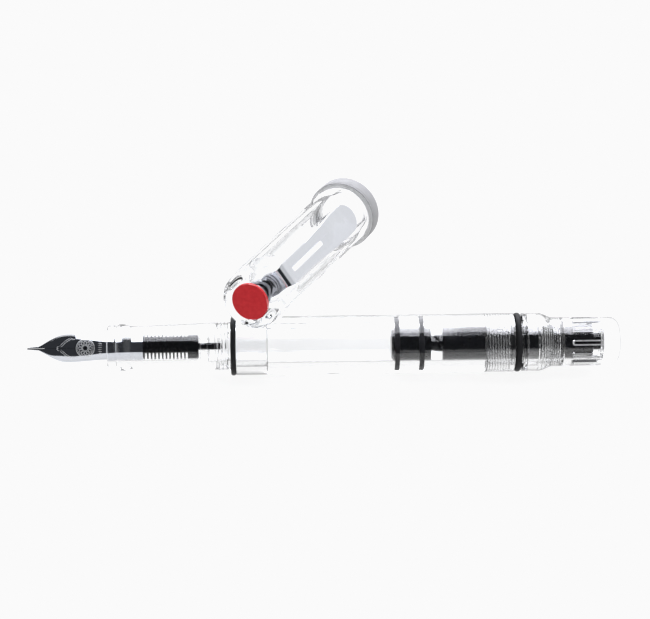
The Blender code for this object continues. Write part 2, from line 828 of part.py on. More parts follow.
def main():
    clear_scene()
    pen, turning = add_pen_frames()
    make_nib(pen)
    make_feed(pen)
    make_section(pen)
    make_o_rings(pen)
    make_barrel(pen)
    make_piston(pen)
    make_rod_guide(pen)
    make_guide_collar(pen)
    make_spindle(turning)
    make_knob(turning)

    cap = add_cap_frame()
    make_crown(cap)
    make_crown_disc(cap)
    make_crown_screw(cap)
    make_crown_o_ring(cap)
    make_cap_shell(cap)
    make_inner_cap(cap)
    make_clip(cap)
    make_cap_band(cap)


main()
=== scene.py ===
"""The looks of a clear piston-filling fountain pen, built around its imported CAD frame.

Lengths are millimetres until MM turns them into metres. Pen stations are distances from the
nib's tip along the pen's axis, and cap stations from the crown's face along the cap's axis.
"""
import json
from math import asin, cos, degrees, pi, radians, sin, sqrt

import bmesh
import bpy
from mathutils import Matrix, Vector


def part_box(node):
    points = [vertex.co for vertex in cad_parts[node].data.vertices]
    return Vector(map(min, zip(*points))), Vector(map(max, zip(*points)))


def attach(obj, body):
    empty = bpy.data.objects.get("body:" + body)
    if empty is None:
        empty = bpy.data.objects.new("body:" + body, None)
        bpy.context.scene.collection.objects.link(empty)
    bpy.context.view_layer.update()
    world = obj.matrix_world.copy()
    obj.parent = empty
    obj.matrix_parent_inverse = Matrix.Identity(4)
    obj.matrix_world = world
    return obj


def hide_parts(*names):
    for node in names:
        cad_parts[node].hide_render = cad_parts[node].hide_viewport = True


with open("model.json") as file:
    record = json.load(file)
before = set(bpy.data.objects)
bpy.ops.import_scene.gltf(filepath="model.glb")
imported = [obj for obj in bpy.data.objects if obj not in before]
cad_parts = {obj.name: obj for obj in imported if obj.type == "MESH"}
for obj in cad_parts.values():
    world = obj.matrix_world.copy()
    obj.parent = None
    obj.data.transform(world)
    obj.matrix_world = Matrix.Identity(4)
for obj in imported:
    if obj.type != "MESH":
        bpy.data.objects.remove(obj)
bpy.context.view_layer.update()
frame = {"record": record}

MM = 0.001

# Values shared by several pieces
ROUND = 128                 # facets round the clear pieces
FINE = 96                   # facets round the small pieces
FILLET = 0.12
FACE_ROLL = 52.5            # degrees that the nib's top leans from straight up towards -Y
KNOB_ROLL = 56.0            # the same for a slot of the knob
CLIP_ROLL = 47.0            # degrees that the clip leans from the top of the cap towards +X
NIB_THICKNESS = 0.28
SHOULDER = 9.0              # station of the nib's greatest width
BREATHER = 12.97            # the breather hole is in the middle of the emblem
SLIT_HALF = 0.03            # half the width of the nib's slit
INK_BORE = 3.93
SLEEVE = 3.77               # radius of the black pieces that run in the bores
COLLAR_PITCH = 0.6
KNOB_PITCH = 0.5
COLLAR_THREAD = (101.2, 106.4)
SPLINES = 10
SLOT_FRONT = 120.1
SLOT_NOSE = 0.55            # length of a slot's round end
SLOT_HALF_ANGLE = 7.3


# ---- frames

def pen_frame():
    """X along the pen from the nib's tip, on the pen's axis."""
    low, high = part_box("barrel")
    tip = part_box("nib")[0][0]
    return Matrix.Translation((tip, (low[1] + high[1]) / 2, (low[2] + high[2]) / 2))


def cap_frame():
    """X along the cap from the middle of the crown's face, and Z towards the clip."""
    crown = next(m for m in frame["record"]["mounts"] if m["name"] == "crown_face")
    along = -Vector(crown["axis"]).normalized()
    across = Vector((0, 0, 1)).cross(along).normalized()
    up = along.cross(across)
    turn = radians(CLIP_ROLL)
    clip_side = up * cos(turn) - across * sin(turn)
    side = clip_side.cross(along)
    axes = Matrix((along, side, clip_side)).transposed().to_4x4()
    return Matrix.Translation(crown["pos_m"]) @ axes


PEN = pen_frame()
CAP = cap_frame()


def rolled(base, roll):
    return base @ Matrix.Rotation(radians(roll), 4, "X")


def ends(node):
    """The stations where one of the pen's CAD nodes begins and ends."""
    return [round((corner[0] - PEN.translation.x) / MM, 2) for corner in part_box(node)]


# ---- mesh helpers

def smooth_step(start, end, share):
    share = min(max(share, 0.0), 1.0)
    return start + (end - start) * share * share * (3 - 2 * share)


def shares(steps):
    """Even steps from zero to one."""
    return [i / steps for i in range(steps + 1)]


def finish_mesh(name, build, place, material, sharp=38):
    """An object made from a mesh in millimetres, with its faces pointing out."""
    bmesh.ops.recalc_face_normals(build, faces=build.faces[:])
    if build.calc_volume(signed=True) < 0:
        bmesh.ops.reverse_faces(build, faces=build.faces[:])
    bmesh.ops.scale(build, vec=(MM, MM, MM), verts=build.verts[:])
    mesh = bpy.data.meshes.new(name)
    build.to_mesh(mesh)
    build.free()
    mesh.materials.append(material)
    mesh.shade_smooth()
    mesh.set_sharp_from_angle(angle=radians(sharp))
    piece = bpy.data.objects.new(name, mesh)
    bpy.context.scene.collection.objects.link(piece)
    piece.matrix_world = place
    return piece


def join_rings(build, near, far):
    """Faces between two rings of points, or between a ring and one point."""
    for i in range(max(len(near), len(far))):
        j = (i + 1) % max(len(near), len(far))
        if len(near) == 1:
            build.faces.new((near[0], far[i], far[j]))
        elif len(far) == 1:
            build.faces.new((near[i], far[0], near[j]))
        else:
            build.faces.new((near[i], far[i], far[j], near[j]))


def bridge(build, rings, closed=False):
    """Faces along a row of rings, and then across its two ends unless it closes."""
    for near, far in zip(rings, rings[1:]):
        join_rings(build, near, far)
    if closed:
        join_rings(build, rings[-1], rings[0])
    else:
        build.faces.new(rings[0])
        build.faces.new(rings[-1])


def around(station, reach, angle):
    """A point round the X axis; angle zero points along +Z."""
    return (station, -reach * sin(angle), reach * cos(angle))


def filleted(outline, size=FILLET, steps=4):
    """The outline with each plain corner rounded."""
    closed = not (outline[0][1] == 0 and outline[-1][1] == 0)
    rounded = []
    count = len(outline)
    for i, point in enumerate(outline):
        end = not closed and i in (0, count - 1)
        before, after = outline[i - 1], outline[(i + 1) % count]
        if end or len(point) > 2 or point[1] == 0:
            rounded.append(point)
            continue
        corner = Vector(point[:2])
        back = Vector(before[:2]) - corner
        ahead = Vector(after[:2]) - corner
        if back.length < 1e-6 or ahead.length < 1e-6:
            continue
        bend = degrees(pi - back.angle(ahead))
        if bend < 12:
            rounded.append(point)
            continue
        cut = min(size, 0.42 * back.length, 0.42 * ahead.length)
        first = corner + back.normalized() * cut
        last = corner + ahead.normalized() * cut
        for share in shares(steps):
            spot = first * (1 - share) ** 2 + corner * 2 * share * (1 - share) + last * share ** 2
            rounded.append((spot.x, spot.y))
    return rounded


def turned(name, outline, place, material, facets=ROUND, angles=None, fillet=FILLET, sharp=38):
    """A solid of revolution about X.

    The outline is a list of (station, radius), or (station, radius, shape) where
    shape(radius, station, angle) gives the radius at an angle. An outline that begins and
    ends on the axis is a solid, and any other closes into a tube.
    """
    outline = filleted(outline, fillet) if fillet else outline
    angles = angles or [2 * pi * i / facets for i in range(facets)]
    build = bmesh.new()
    rings = []
    for point in outline:
        station, radius = point[0], point[1]
        if radius == 0:
            rings.append([build.verts.new((station, 0, 0))])
            continue
        ring = []
        for angle in angles:
            reach = point[2](radius, station, angle) if len(point) > 2 else radius
            ring.append(build.verts.new(around(station, reach, angle)))
        rings.append(ring)
    pairs = list(zip(rings, rings[1:]))
    if not (outline[0][1] == 0 and outline[-1][1] == 0):
        pairs.append((rings[-1], rings[0]))
    for near, far in pairs:
        join_rings(build, near, far)
    return finish_mesh(name, build, place, material, sharp)


def lofted(name, sections, place, material, sharp=38):
    """A solid through closed cross-sections with equal numbers of points."""
    build = bmesh.new()
    bridge(build, [[build.verts.new(point) for point in section] for section in sections])
    bmesh.ops.triangulate(build, faces=[face for face in build.faces if len(face.verts) > 4])
    return finish_mesh(name, build, place, material, sharp)


def thread(start, end, radius, pitch, depth):
    """Outline points of a helical ridge between two stations, fading in and out at its ends.

    A negative depth cuts a groove. The ridge is narrow, with steep flanks.
    """
    steps_per_turn, root_share, flank_share = 20, 0.29, 0.11
    count = int(abs(end - start) / pitch * steps_per_turn)
    low, high, fade = min(start, end), max(start, end), pitch / 2

    def shape(reach, station, angle):
        along = (station / pitch - angle / (2 * pi)) % 1.0
        ridge = min(max((0.5 - abs(along - 0.5) - root_share) / flank_share, 0.0), 1.0)
        window = min((station - low) / fade, (high - station) / fade, 1.0)
        return reach + depth * ridge * max(window, 0.0)

    return [(start + (end - start) * i / count, radius, shape) for i in range(count + 1)]


def cut(piece, cutter, operation="DIFFERENCE"):
    """Cut a piece with another, or join the two, and throw the other away."""
    modifier = piece.modifiers.new("cut", "BOOLEAN")
    modifier.object = cutter
    modifier.operation = operation
    modifier.solver = "EXACT"
    bpy.context.view_layer.update()
    result = bpy.data.meshes.new_from_object(piece.evaluated_get(bpy.context.evaluated_depsgraph_get()))
    piece.modifiers.clear()
    result.name = piece.data.name
    piece.data = result
    bpy.data.objects.remove(cutter, do_unlink=True)
    result.shade_smooth()
    result.set_sharp_from_angle(angle=radians(38))


def block(name, low, high, place, material):
    sections = [
        [(x, low[1], low[2]), (x, high[1], low[2]), (x, high[1], high[2]), (x, low[1], high[2])]
        for x in (low[0], high[0])
    ]
    return lofted(name, sections, place, material)


def settle_turned(name, outline, material, body, node, facets=ROUND, fillet=FILLET):
    """A turned piece of the pen or the cap that stands for a CAD node."""
    place = CAP if body == "cap" else PEN
    settle(turned(name, outline, place, material, facets, fillet=fillet), body, node)


def settle(piece, body, node):
    """The piece rides on a body and stands for its CAD node."""
    adorn(piece, body)
    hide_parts(node)


def adorn(piece, body):
    """A piece that is added to what the CAD holds."""
    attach(piece, body)


# ---- materials

def shader(name, colour, roughness, **sockets):
    material = bpy.data.materials.new(name)
    material.use_nodes = True
    surface = material.node_tree.nodes["Principled BSDF"]
    surface.inputs["Base Color"].default_value = (*colour, 1.0)
    surface.inputs["Roughness"].default_value = roughness
    for socket, value in sockets.items():
        surface.inputs[socket.replace("_", " ")].default_value = value
    return material, surface


def noise(tree, scale, detail, stretch=(1, 1, 1)):
    """Noise in the piece's own metres; scale is in waves per millimetre.

    Below, grain stands for a noise's scale, detail and stretch.
    """
    place = tree.nodes.new("ShaderNodeTexCoord")
    mapping = tree.nodes.new("ShaderNodeMapping")
    texture = tree.nodes.new("ShaderNodeTexNoise")
    mapping.inputs["Scale"].default_value = [value * scale / MM for value in stretch]
    texture.inputs["Scale"].default_value = 1.0
    texture.inputs["Detail"].default_value = detail
    tree.links.new(place.outputs["Object"], mapping.inputs["Vector"])
    tree.links.new(mapping.outputs["Vector"], texture.inputs["Vector"])
    return texture.outputs["Fac"]


def ramp(tree, value, start, end, low, high, interpolation):
    node = tree.nodes.new("ShaderNodeMapRange")
    node.interpolation_type = interpolation
    for socket, limit in (("From Min", start), ("From Max", end), ("To Min", low), ("To Max", high)):
        node.inputs[socket].default_value = limit
    tree.links.new(value, node.inputs["Value"])
    return node.outputs["Result"]


def remap(tree, value, low, high):
    """The range that noise mostly keeps to, spread from low to high."""
    return ramp(tree, value, 0.3, 0.7, low, high, "LINEAR")


def soft_edge(tree, value, outside, inside):
    return ramp(tree, value, outside, inside, 0.0, 1.0, "SMOOTHSTEP")


def vary_roughness(surface, low, high, *grain):
    tree = surface.id_data
    tree.links.new(remap(tree, noise(tree, *grain), low, high), surface.inputs["Roughness"])


def mix_colour(tree, surface, factor, first, second):
    mix = tree.nodes.new("ShaderNodeMix")
    mix.data_type = "RGBA"
    mix.inputs["A"].default_value = (*first, 1.0)
    mix.inputs["B"].default_value = (*second, 1.0)
    tree.links.new(factor, mix.inputs["Factor"])
    tree.links.new(mix.outputs["Result"], surface.inputs["Base Color"])


def vary_colour(surface, dark, light, *grain):
    tree = surface.id_data
    mix_colour(tree, surface, remap(tree, noise(tree, *grain), 0.0, 1.0), dark, light)


def bump(surface, height, *grain):
    tree = surface.id_data
    node = tree.nodes.new("ShaderNodeBump")
    node.inputs["Distance"].default_value = height * MM
    tree.links.new(noise(tree, *grain), node.inputs["Height"])
    tree.links.new(node.outputs["Normal"], surface.inputs["Normal"])


def clear_acrylic(name, index=1.49, rim_shade_colour=0.0):
    """Polished clear acrylic: a trace of flow waves from moulding and of handling haze, and painted shade
    at its rims.
    """
    material, surface = shader(name, (0.985, 0.988, 0.992), 0.0, Transmission_Weight=1.0, IOR=index)
    bump(surface, 0.004, 0.22, 1.0, (0.35, 1, 1))
    vary_roughness(surface, 0.0, 0.012, 0.5, 4.0)
    paint_rim_shade(surface, rim_shade_colour)
    return material


def paint_rim_shade(surface, rim_shade_colour):
    """Painted shade: the colour darkens towards a shade colour at the rims, where the surface turns
    edge-on to the view.
    """
    tree = surface.id_data
    rim = tree.nodes.new("ShaderNodeLayerWeight")
    rim.inputs["Blend"].default_value = 0.5
    plain = surface.inputs["Base Color"].default_value[:3]
    # painted shade: one at the rims, fading to zero where the surface faces the view
    edge = soft_edge(tree, rim.outputs["Facing"], 0.5, 0.95)
    mix_colour(tree, surface, edge, plain, (rim_shade_colour, rim_shade_colour, rim_shade_colour))


def black_plastic(name, shine=0.3):
    """Moulded black plastic: glossy, with faint draw lines along the piece."""
    material, surface = shader(name, (0.009, 0.0095, 0.011), 0.16, IOR=1.5, Specular_IOR_Level=shine)
    vary_colour(surface, (0.007, 0.0075, 0.009), (0.013, 0.0135, 0.016), 1.4, 4.0)
    vary_roughness(surface, 0.13, 0.24, 2.2, 4.0, (0.25, 1, 1))
    bump(surface, 0.004, 3.0, 3.0, (0.2, 1, 1))
    return material


def black_rubber(name, colour=(0.011, 0.0112, 0.0122), shine=0.1):
    """Satin nitrile rubber with fine mould texture."""
    material, surface = shader(name, colour, 0.42, IOR=1.5, Specular_IOR_Level=shine)
    lighter = [value * 1.5 for value in colour]
    vary_colour(surface, colour, lighter, 2.0, 5.0)
    vary_roughness(surface, 0.34, 0.55, 3.5, 4.0)
    bump(surface, 0.012, 9.0, 4.0)
    return material


def polished_steel(name, colour=(0.66, 0.68, 0.71), grain=(0.12, 1, 1), low=0.05, high=0.13):
    """Bright stainless steel with fine polishing lines along the piece."""
    material, surface = shader(name, colour, low, Metallic=1.0)
    darker = [value * 0.975 for value in colour]
    vary_colour(surface, darker, colour, 0.6, 4.0)
    vary_roughness(surface, low, high, 7.0, 4.0, grain)
    bump(surface, 0.0012, 14.0, 3.0, grain)
    return material


def etched_steel(name):
    """The matt bottom of etched lines."""
    material, surface = shader(name, (0.86, 0.87, 0.88), 0.5, Metallic=1.0)
    vary_roughness(surface, 0.42, 0.65, 12.0, 4.0)
    bump(surface, 0.006, 25.0, 3.0)
    return material


def matt_white(name):
    """A pale matt face, slightly uneven in tone, used for the painted highlights and painted light below.
    """
    material, surface = shader(name, (0.9, 0.9, 0.9), 0.6, IOR=1.45, Specular_IOR_Level=0.2)
    vary_colour(surface, (0.86, 0.86, 0.87), (0.93, 0.93, 0.93), 1.5, 4.0)
    vary_roughness(surface, 0.5, 0.7, 3.0, 4.0)
    return material


def red_inlay(name):
    """Pebbled red plastic."""
    material, surface = shader(name, (0.66, 0.033, 0.041), 0.45, IOR=1.5, Specular_IOR_Level=0.08)
    vary_colour(surface, (0.61, 0.027, 0.035), (0.71, 0.039, 0.047), 1.1, 5.0)
    vary_roughness(surface, 0.32, 0.5, 3.0, 4.0)
    bump(surface, 0.03, 3.2, 3.0)
    return material


# ---- nib and feed

def nib_half_width(station):
    """Half the nib's width: a slim tip, flared shoulders, then the straight shank."""
    neck, tip_half, neck_half, shoulder_half, shank_half = 2.5, 0.24, 0.42, 3.1, 2.66
    if station < neck:
        return smooth_step(tip_half, neck_half, station / neck)
    if station < SHOULDER:
        share = (station - neck) / (SHOULDER - neck)
        return neck_half + (shoulder_half - neck_half) * sin(share * pi / 2) ** 1.15
    return smooth_step(shoulder_half, shank_half, (station - SHOULDER) / 8.5)


def nib_edge(station, margin=0.0):
    """How far the nib's long edge is from its middle line, measured round the sheet."""
    bend = nib_bend(station)
    return asin(min(nib_half_width(station) / bend, 0.985)) * bend - margin


def nib_bend(station):
    """Radius of the sheet: nearly flat at the shoulders, round in the section."""
    return smooth_step(5.9, 3.1, (station - SHOULDER) / 12.0)


def nib_top(station):
    """Height of the nib's middle line over the pen's axis."""
    return smooth_step(0.55, 2.75, station / 11.0)


def on_nib(station, across, lift=0.0):
    """The point that is so far across the nib's outer face, measured round the sheet."""
    bend = nib_bend(station)
    angle = across / bend
    height = nib_top(station) - bend + (bend + lift) * cos(angle)
    return (station, (bend + lift) * sin(angle), height)


def nib_section(station):
    """The sheet's outline across the nib, from the outer face to the inner one."""
    spread = nib_edge(station)
    outer, inner = [], []
    for share in shares(28):
        side = 2 * share - 1
        # the sheet's long edges are eased
        ease = 0.06 * abs(side) ** 14
        outer.append(on_nib(station, spread * side, -ease))
        inner.append(on_nib(station, spread * side, -NIB_THICKNESS + ease))
    return outer + inner[::-1]


def make_nib():
    place = rolled(PEN, FACE_ROLL)
    steel = polished_steel("nib_steel", (0.62, 0.64, 0.68), low=0.04, high=0.1)
    # the sections are closest at the tip
    stations = [0.02 + 0.22 * i for i in range(10)]
    stations += [2.2 + 0.3 * i for i in range(30)]
    stations += [11.2 + 0.8 * i for i in range(18)]
    stations.append(ends("nib")[1])
    nib = lofted("nib_sheet", [nib_section(station) for station in stations], place, steel)
    cut(nib, slit_cutter(BREATHER, place, steel))
    cut(nib, drill("hole", BREATHER, 0.26, place, steel))
    settle(nib, "pen", "nib")
    make_tipping(place)
    make_etching(place)


def slit_cutter(end, place, material):
    """A thin wall through the nib's middle, from before its tip to a station."""
    return block("slit", (-1, -SLIT_HALF, -1.5), (end, SLIT_HALF, 4), place, material)


def drill(name, station, radius, place, material):
    """A round cutter through the nib's middle line."""
    build = bmesh.new()
    bmesh.ops.create_cone(
        build, cap_ends=True, segments=32, radius1=radius, radius2=radius, depth=6,
        matrix=Matrix.Translation((station, 0, 3)),
    )
    return finish_mesh(name, build, place, material)


def make_tipping(place):
    """The hard grain welded under the tip."""
    metal = polished_steel("tipping_metal", (0.55, 0.55, 0.57), low=0.08, high=0.2)
    build = bmesh.new()
    bmesh.ops.create_uvsphere(build, u_segments=32, v_segments=20, radius=0.3)
    bmesh.ops.scale(build, vec=(1.5, 0.8, 0.9), verts=build.verts[:])
    bmesh.ops.translate(build, vec=(0.47, 0, 0.32), verts=build.verts[:])
    grain = finish_mesh("nib_tipping", build, place, metal)
    cut(grain, slit_cutter(2, place, metal))
    adorn(grain, "pen")


def ribbon(build, path, width=0.13, lift=0.014, sink=0.03, closed=False):
    """A flat line that follows the nib's face. The path is a list of (station, across)."""
    rings = []
    count = len(path)
    for i, (station, across) in enumerate(path):
        before = path[i - 1] if closed or i else path[0]
        after = path[(i + 1) % count] if closed or i < count - 1 else path[-1]
        run = Vector((after[0] - before[0], after[1] - before[1]))
        side = Vector((-run.y, run.x)).normalized() * width / 2
        taper = 1.0 if closed else min(1.0, 0.25 + 4.0 * min(i, count - 1 - i) / count)
        ring = []
        for sign, height in ((-1, -sink), (-1, lift), (1, lift), (1, -sink)):
            spot = (station + sign * side.x * taper, across + sign * side.y * taper)
            ring.append(build.verts.new(on_nib(spot[0], spot[1], height)))
        rings.append(ring)
    bridge(build, rings, closed)


def circle_path(centre, radius, steps=72, petals=0, depth=0.0, turn=0.0):
    """A circle, or a wavy ring of petals, round a point on the nib."""
    path = []
    for i in range(steps):
        angle = 2 * pi * i / steps
        reach = radius + depth * cos(petals * angle + turn)
        path.append((centre + reach * cos(angle), reach * sin(angle)))
    return path


def curl(start, heading, length, bend_start, bend_end, steps=40):
    """A scroll: a line whose curvature changes evenly along its length. Bends are 1/mm."""
    x, y = start
    angle = radians(heading)
    path = [(x, y)]
    step = length / steps
    for i in range(steps):
        angle += step * (bend_start + (bend_end - bend_start) * (i + 0.5) / steps)
        x += step * cos(angle)
        y += step * sin(angle)
        path.append((x, y))
    return path


def make_etching(place):
    """Generic line work: a rosette round the breather hole, braided arms, tally marks and a border."""
    build = bmesh.new()
    for radius, width in ((2.0, 0.12), (1.72, 0.07)):
        ribbon(build, circle_path(BREATHER, radius), width, closed=True)
    for turn in (0.0, pi):
        ribbon(build, circle_path(BREATHER, 1.12, 120, 6, 0.42, turn), 0.09, closed=True)
    ribbon(build, circle_path(BREATHER, 0.6), 0.09, closed=True)
    for i in range(24):
        angle = 2 * pi * i / 24
        tick = [(BREATHER + r * cos(angle), r * sin(angle)) for r in (1.76, 1.86, 1.96)]
        ribbon(build, tick, 0.05)
    for side in (1, -1):
        arm = curl((7.25, 0.45), 44, 3.3, 0.02, -0.3)
        other = curl((7.6, 0.25), 44, 3.4, 0.02, -0.3)
        strokes = [(arm, 0.08), (other, 0.08)]
        strokes += [(link, 0.07) for link in list(zip(arm, other))[2::5]]
        strokes.append((curl((7.25, 0.45), 165, 1.25, 1.2, 5.5), 0.08))
        strokes.append((curl((9.9, 2.35), -60, 1.3, 0.6, 3.6), 0.08))
        border = [5.2 + 0.31 * i for i in range(40)]
        strokes.append(([(station, nib_edge(station, 0.42)) for station in border], 0.05))
        for path, width in strokes:
            ribbon(build, [(x, y * side) for x, y in path], width)
    tally_gap, tally_start, tally_half = 0.45, 15.75, 0.45
    for i in range(8):
        across = -1.65 + tally_gap * i
        ribbon(build, [(tally_start + tally_half * k, across) for k in range(3)], 0.13)
    etching = finish_mesh("nib_etching", build, place, etched_steel("etched_lines"))
    adorn(etching, "pen")


def make_feed():
    """The feed: a bowed nose under the nib, combs round a core, then the ink tail."""
    place = rolled(PEN, FACE_ROLL)
    plastic = black_plastic("feed_plastic", 0.1)
    front, tail_end = ends("feed")
    comb, comb_end = 25.65, 37.9
    neck, core, rim, tail, raised = 2.3, 1.8, 2.7, 0.75, 0.44

    def off_centre(radius, station, angle):
        """The core stands nearer the pen's upper side, so the combs are deeper below."""
        side = -sin(angle)
        return raised * side + sqrt(radius ** 2 - raised ** 2 * (1 - side ** 2))

    fin_pitch, fin_width, fins = 0.82, 0.38, 12
    nose, nose_length, steps = front + 0.1, 12.0, 12
    outline = [(nose, 0)]
    for i in range(1, steps + 1):
        station = nose + (comb - 0.15 - nose) * (i / steps) ** 1.6
        swell = min((station - front) / nose_length, 1.0)
        outline.append((station, neck * sin(swell * pi / 2)))
    outline += [(comb, neck), (comb, rim)]
    for i in range(fins):
        fin_end = comb + fin_width + fin_pitch * i
        next_fin = fin_end + fin_pitch - fin_width
        outline += [(fin_end, rim), (fin_end, core, off_centre)]
        outline += [(next_fin, core, off_centre), (next_fin, rim)]
    outline += [(comb_end, rim), (comb_end, tail), (tail_end - 0.3, tail)]
    outline += [(tail_end, tail - 0.3), (tail_end, 0)]
    feed = turned("ink_feed", outline, place, plastic, 64, fillet=0.05)
    for vertex in feed.data.vertices:
        station = vertex.co.x / MM
        if station < 17.0:
            # the nose is flattened to fit under the nib
            ceiling = min(max(nib_top(station) - NIB_THICKNESS - 0.25, 0.05), neck)
            vertex.co.z = min(vertex.co.z, ceiling * MM - abs(vertex.co.y) * 0.25)
    past_comb, above = comb_end + 0.6, 3.5
    cut(feed, block("channel", (comb - 0.45, -0.16, 1.9), (past_comb, 0.16, above), place, plastic))
    cut(feed, block("chamber", (32.6, -0.75, 2.15), (past_comb, 0.75, above), place, plastic))
    settle(feed, "pen", "feed")


# ---- the pen's clear pieces

def make_section():
    """The grip: flared lip, waist, cap thread, and the threaded tail inside the barrel."""
    front, tail_end = ends("section")
    shoulder, tail, tail_bore = ends("front_o_ring")[0] - 0.05, 4.62, 3.45
    wall_front, wall_rear, ink_hole = 38.25, 39.8, 0.95
    outline = [(front, 3.05), (front, 4.6), (front + 0.3, 4.9), (front + 1.6, 4.92)]
    outline += [(front + 2.05, 4.78), (front + 2.4, 4.98)]
    lip, lip_length, waist_radius, lip_height = 20.5, 2.6, 4.72, 0.48
    for share in shares(8):
        fall = cos(share * pi / 2) ** 1.2
        outline.append((lip + lip_length * share, waist_radius + lip_height * fall))
    outline += [(26.5, 4.74), (30.0, 4.88), (34.0, 5.05), (38.0, 5.2), (41.4, 5.28)]
    outline += thread(41.6, 44.1, 5.14, 0.8, 0.2)
    outline += [(shoulder - 0.55, 5.32), (shoulder, 5.34), (shoulder, tail), (46.0, tail)]
    outline += [(tail_end, tail), (tail_end, tail_bore)]
    outline += [(wall_rear, tail_bore), (wall_rear, ink_hole), (wall_front, ink_hole)]
    outline += [(wall_front, 3.0), (30.0, 3.02)]
    settle_turned("grip_section", outline, clear_acrylic("section_acrylic"), "pen", "section")


def make_o_rings():
    """Rings with rounded rims that stand a little proud of the barrel."""
    outer, steps = 6.55, 8
    for name, node, set_back, width, inner, rim in (
        ("front_ring", "front_o_ring", 0.0, 1.1, 4.72, 0.4),
        ("rear_ring", "rear_o_ring", 0.1, 1.4, 5.08, 0.55),
    ):
        start = ends(node)[0] + set_back
        end = start + width
        outline = [(start, inner), (start, outer - rim)]
        for i in range(1, steps):
            angle = pi * i / steps
            reach = outer - rim + rim * sin(angle)
            outline.append(((start + end - width * cos(angle)) / 2, reach))
        outline += [(end, outer - rim), (end, inner)]
        settle_turned(name, outline, black_rubber(name + "_rubber"), "pen", node, fillet=0.0)


def make_barrel():
    """The clear tube: it swells slightly to the rear, and has a thread for the collar."""
    front, rear = ends("barrel")
    socket, socket_end = 4.72, ends("section")[1] + 0.2
    nut, nut_end = 5.12, ends("guide_collar")[0] - 0.1
    outline = [(front, socket), (front, 6.42), (60.0, 6.44), (85.0, 6.47)]
    outline += [(rear, 6.5), (rear, nut), (rear - 0.75, nut)]
    outline += thread(COLLAR_THREAD[1], COLLAR_THREAD[0], nut, COLLAR_PITCH, 0.26)
    outline += [(nut_end, nut), (nut_end, INK_BORE), (80.0, INK_BORE)]
    outline += [(socket_end, INK_BORE), (socket_end, socket)]
    settle_turned("barrel_tube", outline, clear_acrylic("barrel_acrylic"), "pen", "barrel")


def make_guide_collar():
    """A clear bushing: fine thread in the barrel, a flange, and the knob's thread behind."""
    front, rear = ends("guide_collar")
    bore, neck, flange, screw = 3.86, 5.0, 6.4, 4.6
    flange_front, flange_rear = ends("rear_o_ring")[1] + 0.05, 110.0
    outline = [(front, bore), (front, 4.8)]
    outline += thread(*COLLAR_THREAD, 4.76, COLLAR_PITCH, 0.26)
    outline += [(106.5, 4.8), (106.7, neck), (flange_front, neck), (flange_front, flange)]
    outline += [(flange_rear, flange), (flange_rear, screw), (112.4, screw)]
    outline += thread(112.5, 117.1, screw, KNOB_PITCH, 0.24)
    outline += [(rear - 0.1, screw), (rear, screw - 0.1), (rear, bore)]
    settle_turned("threaded_collar", outline, clear_acrylic("collar_acrylic"), "pen", "guide_collar")


# ---- filling mechanism

def make_piston():
    """The plug with two grooves, a soft seal in each, and the rod."""
    plastic = black_plastic("piston_plastic")
    front, rear = ends("piston_head")
    seals = {node: ends(node) for node in ("piston_seal_front", "piston_seal_rear")}
    fit, groove_floor, socket, socket_end = 0.04, 3.2, 1.28, ends("piston_rod")[0] - 0.1
    head = [(front, 0), (front, groove_floor), (front + 0.28, 3.55), (front + 0.28, SLEEVE)]
    for start, end in seals.values():
        head += [(start - fit, SLEEVE), (start - fit, groove_floor)]
        head += [(end + fit, groove_floor), (end + fit, SLEEVE)]
    head += [(rear, SLEEVE), (rear, socket), (socket_end, socket), (socket_end, 0)]
    settle_turned("piston_plug", head, plastic, "piston", "piston_head", FINE, 0.06)
    for node, (start, end) in seals.items():
        # the rim presses into the bore's wall, as the soft ring does
        rim, foot, slope = INK_BORE + 0.07, groove_floor + 0.05, 0.08
        outline = [(start, foot), (start, SLEEVE), (start + slope, rim)]
        outline += [(end - slope, rim), (end, SLEEVE), (end, foot)]
        rubber = black_rubber(node + "_rubber", (0.02, 0.0205, 0.023), 0.03)
        settle_turned(node + "_ring", outline, rubber, "piston", node, fillet=0.03)
    make_rod(plastic)


def make_rod(plastic):
    """A flat-sided rod with a coarse two-start groove."""
    lead, groove_depth, half_flat = 4.8, 0.32, 1.4
    front, rear = ends("piston_rod")
    spigot, spigot_radius, screw_start, screw_radius, step = front + 0.03, 1.2, 89.0, 1.82, 0.2

    def grooved(radius, station, angle):
        flat = half_flat / max(abs(cos(angle)), 1e-6)
        phase = (2 * station / lead - angle / pi) % 1.0
        groove = groove_depth * max(0.0, 1 - abs(phase - 0.5) / 0.24)
        return min(radius, flat) - groove

    outline = [(spigot, 0), (spigot, spigot_radius), (screw_start, spigot_radius)]
    outline += [(screw_start + step * i, screw_radius, grooved) for i in range(173)]
    outline += [(rear, half_flat), (rear, 0)]
    settle_turned("piston_rod_screw", outline, plastic, "piston", "piston_rod", 72, 0.0)


def make_rod_guide():
    """The sleeve, whose front wall has a flat-sided hole for the rod."""
    front, rear = ends("rod_guide")
    hole, bore, wall_end, bevel = 1.92, 3.15, 93.0, 0.1

    def keyed(radius, station, angle):
        return min(radius, 1.5 / max(abs(cos(angle)), 1e-6))

    outline = [(front, hole, keyed), (front, SLEEVE - bevel), (front + bevel, SLEEVE)]
    outline += [(rear - bevel, SLEEVE), (rear, SLEEVE - bevel), (rear, bore)]
    outline += [(wall_end, bore), (wall_end, hole, keyed)]
    settle_turned("guide_sleeve", outline, black_plastic("guide_plastic"), "pen", "rod_guide", FINE, 0.0)


def spline_angles(half_angle):
    """Angles with a pair at each spline wall, and even steps between."""
    pitch = 360 / SPLINES
    angles = []
    for i in range(SPLINES):
        inner = [-half_angle + 2 * half_angle * k / 4 for k in range(5)]
        outer = [half_angle + 0.35 + (pitch - 2 * half_angle - 0.7) * k / 8 for k in range(9)]
        angles += [radians(i * pitch + value) for value in inner + outer]
    return angles


def off_spline(angle):
    pitch = 2 * pi / SPLINES
    return abs((angle + pitch / 2) % pitch - pitch / 2)


